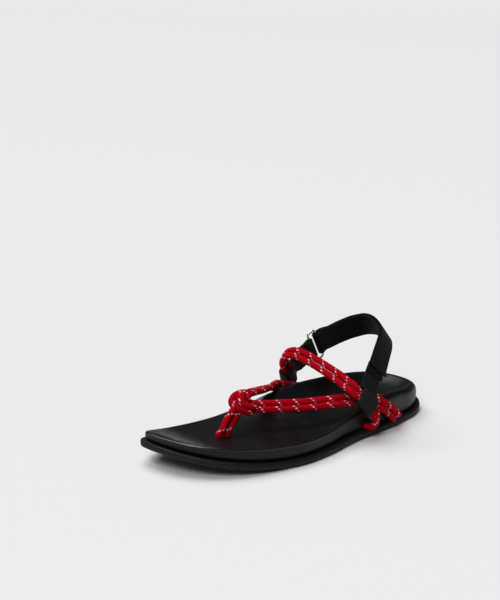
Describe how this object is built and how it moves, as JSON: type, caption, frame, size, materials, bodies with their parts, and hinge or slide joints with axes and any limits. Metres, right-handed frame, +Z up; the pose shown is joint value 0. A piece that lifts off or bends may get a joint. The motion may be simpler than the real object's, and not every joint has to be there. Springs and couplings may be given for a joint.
{
  "type": "rope sandal",
  "caption": "Left open sandal: rubber outsole, moulded footbed, knotted rope toe post and side ropes, instep rope, webbing side loops, metal ring and folded heel strap.",
  "frame": {"origin": "on the floor, under the middle of the heel's flat spot", "axes": "+Z up; toe towards -Y; +X is the lateral (outer) side of the left foot"},
  "size_m": [0.1087, 0.2772, 0.0881],
  "materials": {
    "black_rubber": "matte moulded rubber",
    "moulded_footbed": "smooth moulded foam, satin",
    "insole_cover": "smooth black leather, satin",
    "red_braid": "round braided rope, red with pale flecks",
    "black_webbing": "ribbed woven band",
    "pale_gold_metal": "polished wire with a pale gold plating"
  },
  "bodies": {
    "root": {"outsole": "black_rubber", "footbed": "moulded_footbed", "insole": "insole_cover", "toe_rope": "red_braid", "instep_rope_front": "red_braid", "instep_rope_rear": "red_braid", "webbing_lateral": "black_webbing", "webbing_medial": "black_webbing", "heel_strap": "black_webbing", "strap_ring": "pale_gold_metal"}
  },
  "joints": []
}
